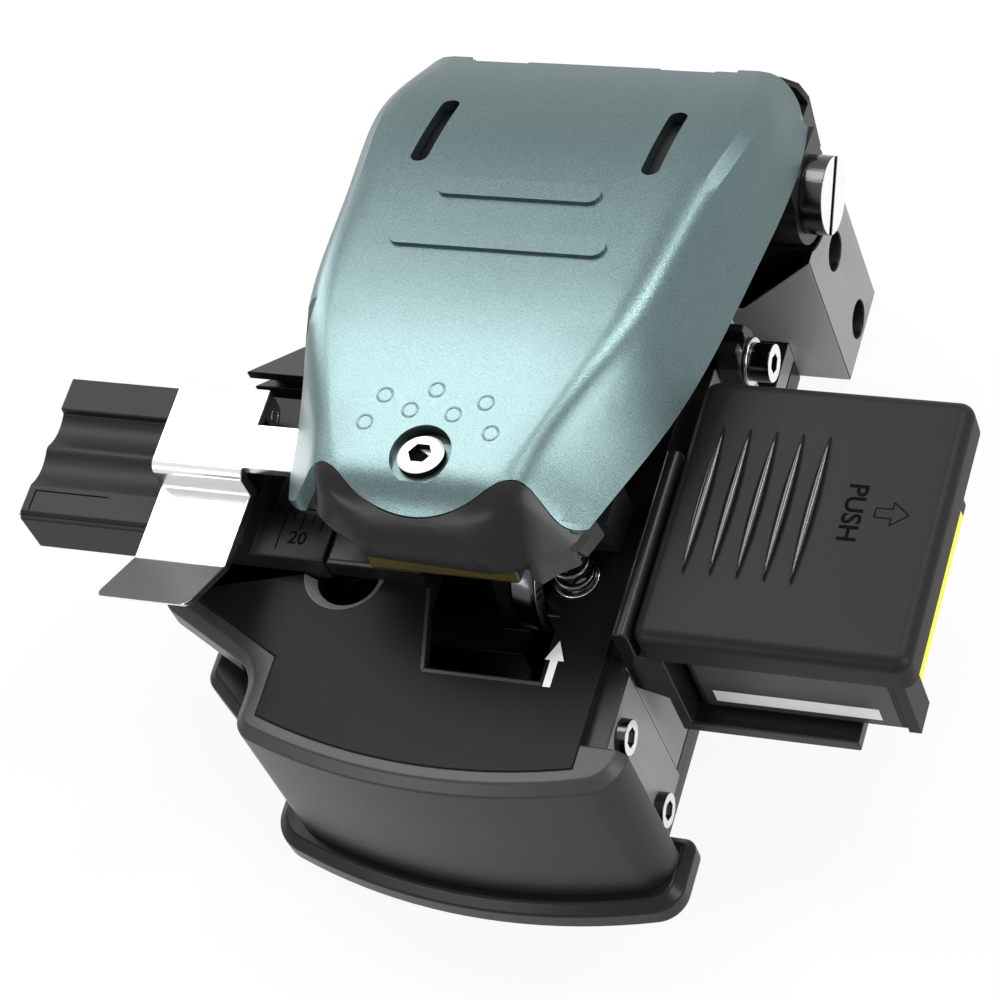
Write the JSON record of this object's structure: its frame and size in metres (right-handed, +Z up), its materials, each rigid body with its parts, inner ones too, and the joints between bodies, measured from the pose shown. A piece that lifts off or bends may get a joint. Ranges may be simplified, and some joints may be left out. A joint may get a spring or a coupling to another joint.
{
  "type": "fibre cleaver",
  "caption": "Bench-top optical fibre cleaver with a hinged arm, a sliding score wheel, a clamped fibre holder and a waste bin.",
  "frame": {"origin": "on the ground under the sole, in the arm's centre plane, 45.4 mm in front of the arm's pivot", "axes": "+X to the right towards the waste bin, +Y to the rear towards the hinge, +Z up"},
  "size_m": [0.1109, 0.0961, 0.0535],
  "materials": {
    "cover_teal": "sand-blasted anodised",
    "black_anodised": "satin anodised",
    "deck_black": "satin",
    "holder_charcoal": "matte anodised",
    "stainless": "bright",
    "screw_steel": "polished",
    "brass": "satin",
    "wheel_steel": "dark",
    "bin_plastic": "fine grain",
    "rubber": "matte",
    "spring_steel": "blackened"
  },
  "bodies": {
    "base": {"rubber_sole": "rubber", "foot_plate": "black_anodised", "foot_screws": "screw_steel", "base_body": "black_anodised", "front_housing": "black_anodised", "deck_plate": "deck_black", "side_screws": "screw_steel", "fibre_holder": "holder_charcoal", "ruler_plate": "holder_charcoal", "rear_block": "black_anodised", "guide_rail": "stainless", "lower_pads": "stainless", "spring_ring": "stainless", "return_spring": "spring_steel", "bin_bracket": "bin_plastic", "bin_tray": "bin_plastic", "latch_bolt": "screw_steel", "latch_washer": "stainless"},
    "arm": {"arm_cover": "cover_teal", "arm_frame": "black_anodised", "upper_pads": "rubber", "anvil": "rubber", "front_plate": "brass", "cover_screw": "screw_steel", "pivot_pin": "screw_steel"},
    "clamp": {"clamp_plate": "stainless", "clamp_pin": "stainless", "clamp_pad": "rubber"},
    "carriage": {"blade_carriage": "black_anodised", "wheel_screw": "screw_steel"},
    "wheel": {"score_wheel": "wheel_steel"},
    "bin_lid": {"bin_lid": "bin_plastic"},
    "latch": {"latch_lever": "black_anodised"}
  },
  "joints": [
    {"name": "arm_hinge", "type": "hinge", "parent": "base", "child": "arm", "pos_m": [0, 0.0454, 0.0306], "axis": [1, 0, 0], "range_deg": [0, 8], "stiffness_Nm_per_rad": 0.16, "springref_deg": -20.05, "deforming": ["return_spring"]},
    {"name": "carriage_slide", "type": "slide", "parent": "base", "child": "carriage", "axis": [0, 1, 0], "range_m": [0, 0.014]},
    {"name": "wheel_turn", "type": "hinge", "parent": "carriage", "child": "wheel", "pos_m": [0.0071, -0.0064, 0.02785], "axis": [1, 0, 0], "continuous": true},
    {"name": "clamp_hinge", "type": "hinge", "parent": "base", "child": "clamp", "pos_m": [-0.03285, 0.0034, 0.0384], "axis": [1, 0, 0], "range_deg": [-95, 0]},
    {"name": "bin_lid_slide", "type": "slide", "parent": "base", "child": "bin_lid", "axis": [1, 0, 0], "range_m": [0, 0.014]},
    {"name": "latch_turn", "type": "hinge", "parent": "base", "child": "latch", "pos_m": [0.0221, 0.024, 0.0264], "axis": [1, 0, 0], "range_deg": [-20, 20]}
  ]
}
